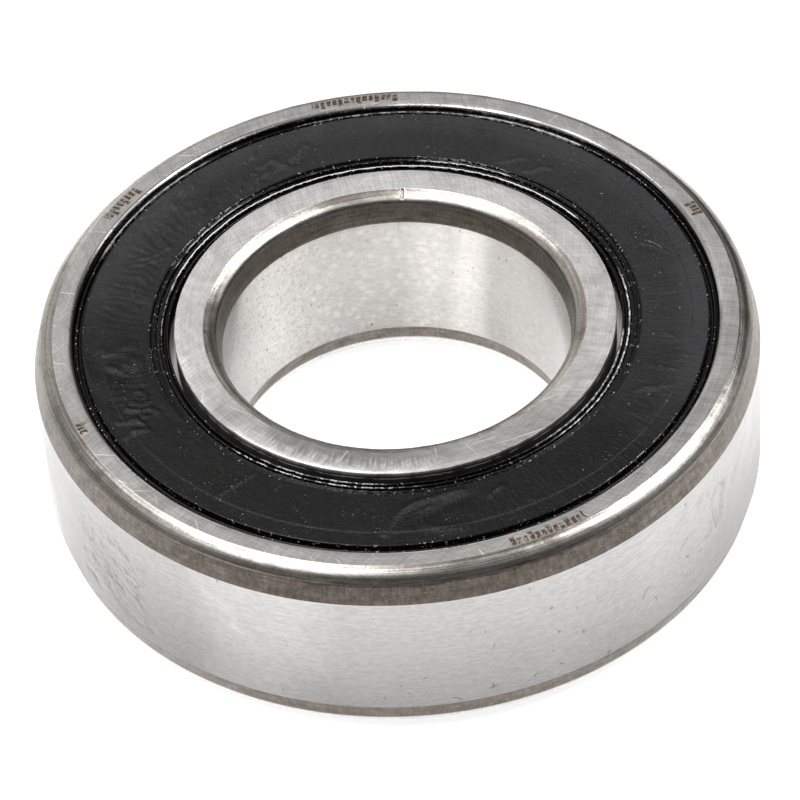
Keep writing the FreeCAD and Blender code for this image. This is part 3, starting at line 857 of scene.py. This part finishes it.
def polished_edge(name):
    """Narrow bevel that the grinding disc has rolled over, worn duller in patches."""
    g = Graph(name)
    nicks = g.ramp(g.noise(g.mm, 2.6, 3.0, 0.65), 0.56, 0.66)
    patch = g.ramp(g.noise(g.mm, 0.16, 2.0, 0.5), 0.42, 0.58)
    tint = g.mix(patch, grey(0.13, 0.02), grey(0.27, 0.01))
    tint = g.mix(nicks, tint, grey(0.10, 0.05))
    # Painted highlight: the bevel is up to three times brighter on its -Y side.
    tint = g.scaled(tint, g.ramp(g.y, -10.0, 8.0, 3.0, 1.0))
    # Painted shade: darker down towards the recess.
    tint = g.scaled(tint, g.ramp(abs(g.z), 7.25, 7.38, 0.1, 1.0))
    height = nicks + g.noise(g.mm, 6.0) * 0.4
    return g.finish(tint, g.ramp(patch, 0.0, 1.0, 0.24, 0.14), g.bump(height, -0.005))


def recess_steel(name):
    """Turned seal recess and polished raceway, filmed with oil."""
    g = Graph(name)
    rings = g.noise(g.combine(g.x * 0.04, g.y * 0.04, g.z * 12.0), 1.0, 3.0, 0.6)
    tint = g.mix(g.spread(rings), grey(0.36, 0.03), grey(0.46, 0.02))
    return g.finish(tint, g.spread(rings, 0.16, 0.28), g.bump(rings, 0.003), Coat_Weight=0.3)


def land_edge(name):
    """Ground seal land, with its light painted into its tone: grey by the face, darker deeper
    down as painted shade, and a painted highlight line above the lip.
    """
    g = Graph(name)
    depth = HALF_WIDTH - abs(g.z)
    patch = g.noise(g.mm, 0.9, 3.0, 0.6)
    wander = depth + g.spread(g.noise(g.mm, 1.6, 2.0), -0.03, 0.03)
    # Painted shade: the land darkens away from the face.
    shade = g.ramp(depth, 0.02, 0.36, 0.3, 0.03) * g.ramp(patch, 0.35, 0.65, 0.6, 1.3)
    # Painted highlight: a bright line above the lip.
    line = g.between(wander, 0.44, 0.52, 0.025) * g.ramp(patch, 0.42, 0.56, 0.15, 1.0)
    tint = g.mix(line, g.combine(shade, shade * 0.96, shade * 0.92), grey(0.45, 0.0))
    return g.finish(tint, 0.55, g.bump(patch, 0.01), metallic=0.0, IOR=1.45)


def nitrile_band(name, seed, haired):
    """Flat moulded band of black rubber: sandy grain, clouds of oil and clusters of dust, with
    painted shade on its -Y side.
    """
    g = Graph(name)
    moved = g.vector("ADD", g.mm, (seed, seed * 0.7, 0.0))
    grain = g.noise(moved, 5.0, 3.0, 0.7)
    cloud = g.noise(moved, 0.20, 3.0, 0.6, 0.4)
    smear = g.noise(moved, 1.1, 4.0, 0.62, 0.6)
    brushed = g.noise(g.combine(g.azimuth * 1.7, g.radius * 0.5, seed), 1.0, 3.0, 0.6)
    group = g.ramp(g.noise(moved, 0.26, 2.0), 0.50, 0.64)
    dust = g.ramp(g.noise(moved, 6.5, 1.0, 0.4), 0.7, 0.74) * group
    flake = g.ramp(g.noise(moved, 3.8, 0.0), 0.83, 0.86)
    dust = g.math("MAXIMUM", dust, flake)
    mealy = g.ramp(grain, 0.35, 0.65)
    tint = g.mix(g.spread(cloud), (0.006, 0.006, 0.0066, 1.0), (0.01, 0.01, 0.0108, 1.0))
    tint = g.mix(mealy * 0.5, tint, (0.016, 0.016, 0.0172, 1.0))
    # Painted shade: the band is much darker on its -Y side and lighter towards its outer edge; the same
    # mask sets its roughness.
    painted_light_level = g.ramp(cloud * 8.0 + (g.x * 0.35 + g.y), -8.0, 8.0, 0.05, 1.0)
    tint = g.scaled(tint, painted_light_level * g.ramp(g.radius, 19.6, 21.6, 0.95, 1.75))
    if haired:
        dust = g.math("MAXIMUM", dust, thin_arc(g, HAIR, 0.035))
    tint = g.mix(dust * 0.5, tint, (0.24, 0.24, 0.25, 1.0))
    rough = painted_light_level * 0.13 + g.spread(cloud, 0.1, 0.18) + smear * 0.06 + dust * -0.08
    height = grain * 0.9 + smear * 0.9 + brushed * 0.8 + dust * 1.2
    return g.finish(tint, rough, g.bump(height, 0.060), metallic=0.0, IOR=1.25)


def painted_gleams(g, seed):
    """How bright the painted highlights are on the crests of the bead, the ridges and the lip."""
    around = g.around(20.0, seed)
    radius = g.radius + g.spread(g.noise(around, 2.2, 2.0), -0.025, 0.025)
    azimuth = g.azimuth + g.spread(g.noise(around, 0.5, 2.0), -4.0, 4.0)
    broken = g.ramp(g.noise(around, 2.4, 3.0, 0.7), 0.46, 0.54)
    # Scattered bright specks, under the painted highlights along the crests.
    level = g.ramp(g.noise(g.vector("ADD", g.mm, (seed, 0.0, 0.0)), 5.0, 1.0, 0.5), 0.68, 0.72) * 0.26
    for centre, half, start, end, bright, torn in PAINTED_GLEAMS:
        line = g.between(radius, centre - half, centre + half, 0.02)
        here = g.between(azimuth, start, end, 4.0) * bright
        cover = (broken - 1.0) * torn + 1.0
        level = g.math("MAXIMUM", level, line * here * cover)
    return level * g.ramp(abs(g.z), 6.86, 6.96)


def nitrile_ridge(name, seed):
    """Bead, grooves and lip of the same rubber: wet with oil, with short painted highlights on its
    crests.
    """
    g = Graph(name)
    moved = g.vector("ADD", g.mm, (seed, seed * 0.7, 0.0))
    grain = g.noise(moved, 4.0, 3.0, 0.6)
    patch = g.noise(moved, 0.5, 2.0, 0.5)
    tint = g.mix(g.ramp(grain, 0.4, 0.6), (0.0016, 0.0016, 0.0018, 1.0), (0.0032, 0.0032, 0.0036, 1.0))
    # Painted highlights: the ridge's base colour turns near-white along the crests.
    wet = painted_gleams(g, seed)
    tint = g.mix(wet, tint, (0.90, 0.90, 0.92, 1.0))
    rough = g.ramp(patch, 0.35, 0.65, 0.07, 0.14) + wet * 0.2
    return g.finish(tint, rough, g.bump(grain + patch, 0.020), metallic=0.0, IOR=1.26)


def lapped_ball(name):
    """Mirror-bright ball with the faintest lapping marks under an oil film."""
    g = Graph(name)
    marks = g.noise(g.stretched(4.0, 4.0, 4.0), 1.0, 3.0, 0.6)
    tint = g.mix(marks, grey(0.66, 0.005), grey(0.74, 0.0))
    return g.finish(tint, g.spread(marks, 0.05, 0.1), g.bump(marks, 0.0006), Coat_Weight=0.25)


def pressed_sheet(name, tone, warmth, rolled):
    """Cold-rolled sheet: straight rolling lines, tumbling marks and dull patches."""
    g = Graph(name)
    lines = g.noise(g.stretched(0.25, rolled, 2.0), 1.0, 3.0, 0.6)
    dull = g.noise(g.mm, 0.7, 3.0, 0.6)
    tumbled = g.cells(g.mm, 1.6)
    tint = g.mix(g.ramp(lines, 0.35, 0.65), grey(tone * 0.82, warmth), grey(tone * 1.12, warmth))
    tint = g.mix(g.ramp(dull, 0.5, 0.75) * 0.4, tint, grey(tone * 0.6, warmth + 0.02))
    height = lines + tumbled * 0.6
    return g.finish(tint, g.spread(dull, 0.28, 0.45), g.bump(height, 0.008))


def packed_grease(name):
    """Pale amber grease, wet, with smears and small air bubbles."""
    g = Graph(name)
    smear = g.noise(g.mm, 0.8, 3.0, 0.6, 1.5)
    bubbles = g.ramp(g.cells(g.mm, 1.4), 0.05, 0.22, 0.0, 1.0)
    tint = g.mix(g.spread(smear), (0.52, 0.36, 0.13, 1.0), (0.7, 0.55, 0.27, 1.0))
    height = smear + bubbles * 0.5
    return g.finish(tint, g.spread(smear, 0.12, 0.26), g.bump(height, 0.12), metallic=0.0,
                    Subsurface_Weight=0.35, Subsurface_Scale=0.001, IOR=1.47)


# ======== Pieces ========
def ring_outline(upper, raceway_radius, wall_steps):
    """Closes a half outline with its raceway, its mirror image and its wall."""
    foot = upper.points[0]
    lower = upper.flipped()
    upper.arc((raceway_radius, 0.0), lower.points[0], HIDDEN, 16)
    upper.points[-1:] = lower.points
    upper.finishes += lower.finishes
    upper.line(foot, CYLINDER, wall_steps)
    return upper


def raceway_edge(raceway_radius, shoulder_radius):
    """Height at which a raceway groove runs out into its shoulder."""
    depth = abs(raceway_radius - shoulder_radius)
    return math.sqrt(GROOVE_RADIUS ** 2 - (GROOVE_RADIUS - depth) ** 2)


def outer_outline():
    """Outer ring, from the foot of its upper corner, over the face and into the recess."""
    face_radius = OUTER_RADIUS - OUTER_CORNER["radial"]
    bevel_start = (MOUTH_RADIUS + MOUTH_BEVEL, HALF_WIDTH)
    bevel_middle = (MOUTH_RADIUS + 0.5 * MOUTH_BEVEL, 0.5 * (HALF_WIDTH + MOUTH_TOP) + 0.03)
    raceway = PITCH_RADIUS + BALL_RADIUS + RACEWAY_CLEARANCE
    upper = corner_outline(OUTER_RADIUS, face_radius, OUTER_CORNER, 9)
    upper.line((face_radius - FLAT_START, HALF_WIDTH), FACE)
    upper.line(bevel_start, FACE, 3)
    upper.arc(bevel_middle, (MOUTH_RADIUS, MOUTH_TOP), EDGE, 6)
    for corner in ((MOUTH_RADIUS, MOUTH_BOTTOM), (RECESS_RADIUS, RECESS_ROOF),
                   (RECESS_RADIUS, RECESS_FLOOR), (OUTER_SHOULDER_RADIUS, RECESS_FLOOR),
                   (OUTER_SHOULDER_RADIUS, raceway_edge(raceway, OUTER_SHOULDER_RADIUS))):
        upper.line(corner, HIDDEN)
    return ring_outline(upper, raceway, 68)


def inner_outline():
    """Inner ring, from the foot of its upper bore corner, over the face and down the land."""
    face_radius = BORE_RADIUS + BORE_CORNER["radial"]
    raceway = PITCH_RADIUS - BALL_RADIUS - RACEWAY_CLEARANCE
    upper = corner_outline(BORE_RADIUS, face_radius, BORE_CORNER, 8)
    upper.line((face_radius + FLAT_START, HALF_WIDTH), FACE)
    upper.line((LAND_RADIUS - 0.06, HALF_WIDTH), FACE, 4)
    upper.arc((LAND_RADIUS - 0.018, HALF_WIDTH - 0.018), (LAND_RADIUS, HALF_WIDTH - 0.06), EDGE, 3)
    upper.line((LAND_RADIUS, LAND_FLOOR), EDGE, 2)
    upper.line((INNER_SHOULDER_RADIUS, LAND_FLOOR), HIDDEN)
    upper.line((INNER_SHOULDER_RADIUS, raceway_edge(raceway, INNER_SHOULDER_RADIUS)), HIDDEN)
    return ring_outline(upper, raceway, 24)


def seal_outline():
    """Upper seal rubber, from under the ring's mouth, over the face and round the insert."""
    inner_top = BAND_TOP + STEP_HEIGHT
    o = Outline((23.10, 6.72))
    o.rounded([(23.02, 6.80, 0.03), (22.94, 6.80, 0.03), (22.88, 7.12, 0.065), (22.74, 7.12, 0.065),
               (22.66, 6.78, 0.05), (22.52, 6.78, 0.05), (BAND_OUTER_RADIUS, BAND_TOP, 0.08),
               (22.30, BAND_TOP, 0)], RIDGE)
    o.line((STEP_RADIUS + STEP_HALF_WIDTH, BAND_TOP), BAND, 11)
    for k in range(1, 6):
        t = k / 5
        rise = t * t * (3 - 2 * t)
        o.line((STEP_RADIUS + STEP_HALF_WIDTH * (1 - 2 * t), BAND_TOP + STEP_HEIGHT * rise), BAND)
    o.line((BAND_INNER_RADIUS + 0.12, inner_top), BAND, 36)
    o.rounded([(BAND_INNER_RADIUS, inner_top, 0.07), (17.44, 7.12, 0.05), (17.32, 7.10, 0.05),
               (17.26, 7.18, 0.045), (17.16, 7.18, 0.045), (17.10, 6.90, 0.05), (16.86, 6.90, 0.05),
               (16.78, 7.10, 0.055), (16.66, 7.10, 0.055), (16.58, 6.70, 0.06), (16.44, 6.70, 0.06),
               (16.36, 7.05, 0.045), (16.26, 7.05, 0.045), (LIP_INNER_RADIUS, 6.95, 0.04)], RIDGE, 5)
    o.rounded([(LIP_INNER_RADIUS, 5.33, 0.05), (16.58, 5.33, 0.05),
               (16.98, 6.10, 0), (17.90, 6.10, 0), (17.90, 6.55, 0), (22.85, 6.55, 0), (22.85, 5.87, 0),
               (22.40, 5.87, 0), (22.40, 5.75, 0), (23.62, 5.75, 0.12), (23.62, 6.72, 0.12),
               (23.10, 6.72, 0)], RIDGE)
    return o


def build_rings():
    """The two steel rings, which replace their coarser CAD nodes."""
    steel = [ground_face("outer_face_ground", True, 0.385, 0.405),
             turned_corner("outer_corner_turned", 0.080, 6.66, OUTER_ROLL_PAINTED_LIGHT, 0.5),
             ground_cylinder("outer_wall_ground", 0.240, 0.012, 1.54, OUTER_WALL_PAINTED_HIGHLIGHTS, 0),
             polished_edge("mouth_bevel"), recess_steel("outer_recess")]
    outer = turned("outer_ring_surface", "outer", outer_outline(), steel,
                   azimuths(0.72, FILM_STRETCHES), film_relief)
    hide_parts("outer_ring")
    steel = [ground_face("inner_face_ground", False, 0.40, 0.60),
             turned_corner("bore_corner_turned", 0.066, 6.70, BORE_ROLL_PAINTED_LIGHT, 1.0),
             ground_cylinder("bore_ground", 0.380, 0.036, 1.04, BORE_PAINTED_HIGHLIGHTS, 1),
             land_edge("land_edge"), recess_steel("inner_recess")]
    inner = turned("inner_ring_surface", "inner", inner_outline(), steel,
                   azimuths(0.72, NICK_STRETCH), bore_relief)
    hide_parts("inner_ring")


def build_seals():
    """The two seal rubbers. The lower one has its own few creases."""
    rubber = [nitrile_band("upper_nitrile_band", 3.0, True), nitrile_ridge("upper_nitrile_ridge", 3.0)]
    upper = turned("upper_seal_face", "outer", seal_outline(), rubber, azimuths(0.40),
                   seal_relief(SEAL_CREASES, 4, (-38, 22), BLISTERS))
    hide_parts("upper_seal_rubber")
    turned_creases = [(tall, wide, [(-a, radius) for a, radius in points])
                      for tall, wide, points in SEAL_CREASES[::3]]
    rubber = [nitrile_band("lower_nitrile_band", 41.0, False), nitrile_ridge("lower_nitrile_ridge", 41.0)]
    lower = turned("lower_seal_face", "outer", seal_outline().flipped(), rubber, azimuths(0.80),
                   seal_relief(turned_creases, 23, (40, 130), ()))
    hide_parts("lower_seal_rubber")


def dress(names, material):
    """Gives CAD nodes their material."""
    for name in names:
        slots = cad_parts[name].data.materials
        slots.clear()
        slots.append(material)


def dress_inner_parts():
    """Materials of the pieces that stay as CAD made them."""
    balls = sorted(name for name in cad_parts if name.startswith("ball_"))
    dress(balls, lapped_ball("lapped_ball"))
    dress(["upper_cage_half", "lower_cage_half"], pressed_sheet("cage_sheet", 0.42, 0.03, 3.0))
    dress(["cage_rivets"], pressed_sheet("rivet_steel", 0.50, 0.01, 0.6))
    dress(["upper_seal_insert", "lower_seal_insert"], pressed_sheet("insert_sheet", 0.26, 0.0, 4.0))
    dress(["upper_grease_collar", "lower_grease_collar"], packed_grease("grease"))


# ======== Stage, light and camera ========
TABLE_HALF_SIZE = 1.2
TABLE_GAP = 0.00002


def build_floor():
    """A plain white table top under the part."""
    g = Graph("table_white")
    tone = g.noise(g.mm, 0.01, 2.0)
    material = g.finish(g.mix(tone, (0.64, 0.64, 0.64, 1), (0.66, 0.66, 0.66, 1)), 0.8, metallic=0.0,
                        Emission_Color=(1, 1, 1, 1), Emission_Strength=0.62)
    size = TABLE_HALF_SIZE
    z = cad_bounds[0][2] - TABLE_GAP
    mesh = bpy.data.meshes.new("table")
    mesh.from_pydata([(-size, -size, z), (size, -size, z), (size, size, z), (-size, size, z)], [],
                     [(0, 1, 2, 3)])
    mesh.materials.append(material)
    table = add_object("table", mesh)


# Brightness of the room against how far a direction leans along ROOM_AXIS, to its bright back.
ROOM_TONES = ((0.25, 0.055), (0.54, 0.25), (0.68, 0.70), (0.84, 0.82), (0.93, 1.12))

# Soft boxes and their hot centres: name, centre, size and radiance.
SOFT_BOXES = (("softbox_left", (-0.207, 0.055, 0.60), (0.366, 0.63), 3.4),
              ("softbox_left_core", (-0.180, -0.04, 0.597), (0.19, 0.19), 13.0),
              ("softbox_right", (0.51, 0.13, 0.60), (0.54, 0.56), 3.8),
              ("softbox_right_core", (0.37, 0.06, 0.597), (0.24, 0.19), 13.0))
ROOM_AXIS = (-0.40, 0.42, 0.815)


def build_lights():
    """Two soft boxes that look straight down, in a room that is dark in front."""
    for name, centre, size, radiance in SOFT_BOXES:
        data = bpy.data.lights.new(name, "AREA")
        data.shape = "RECTANGLE"
        data.size, data.size_y = size
        data.energy = radiance * math.pi * size[0] * size[1]
        add_object(name, data).location = centre
    world = bpy.data.worlds.new("studio")
    bpy.context.scene.world = world
    world.use_nodes = True
    tree = world.node_tree
    background = tree.nodes["Background"]
    direction = tree.nodes.new("ShaderNodeTexCoord").outputs["Generated"]
    dot = tree.nodes.new("ShaderNodeVectorMath")
    dot.operation = "DOT_PRODUCT"
    tree.links.new(direction, dot.inputs[0])
    dot.inputs[1].default_value = ROOM_AXIS
    ramp = tree.nodes.new("ShaderNodeValToRGB")
    stops = ramp.color_ramp.elements
    for k, (place, tone) in enumerate(ROOM_TONES):
        stop = stops[k] if k < 2 else stops.new(place)
        stop.position = place
        stop.color = (tone, tone * 0.985, tone * 0.97, 1)
    tree.links.new(dot.outputs["Value"], ramp.inputs[0])
    tree.links.new(ramp.outputs["Color"], background.inputs["Color"])
    background.inputs["Strength"].default_value = 1.0


CAMERA_ELEVATION = math.radians(44.16)
CAMERA_ROLL = math.radians(-4.29)
CAMERA_DISTANCE = 12.6022
CAMERA_SHIFT = (0.0144, -0.2282)
CAMERA_LENS = 206.85


def build_camera():
    """A long lens aimed a little below the upper face. Lengths are in outer radii."""
    back = Vector((0, -math.cos(CAMERA_ELEVATION), math.sin(CAMERA_ELEVATION)))
    level = Vector((1, 0, 0))
    upright = back.cross(level)
    right = math.cos(CAMERA_ROLL) * level + math.sin(CAMERA_ROLL) * upright
    up = -math.sin(CAMERA_ROLL) * level + math.cos(CAMERA_ROLL) * upright
    place = back * CAMERA_DISTANCE + right * CAMERA_SHIFT[0] + up * CAMERA_SHIFT[1]
    data = bpy.data.cameras.new("camera")
    data.lens = CAMERA_LENS
    data.sensor_width = 36.0
    data.clip_start = 0.01
    camera = add_object("camera", data)
    turn = Matrix((right, up, back)).transposed().to_4x4()
    target = Vector((0, 0, HALF_WIDTH * MM))
    camera.matrix_world = Matrix.Translation(target + place * OUTER_RADIUS * MM) @ turn
    bpy.context.scene.camera = camera


build_rings()
build_seals()
dress_inner_parts()
build_floor()
build_lights()
build_camera()
bpy.context.scene.view_settings.view_transform = "Standard"
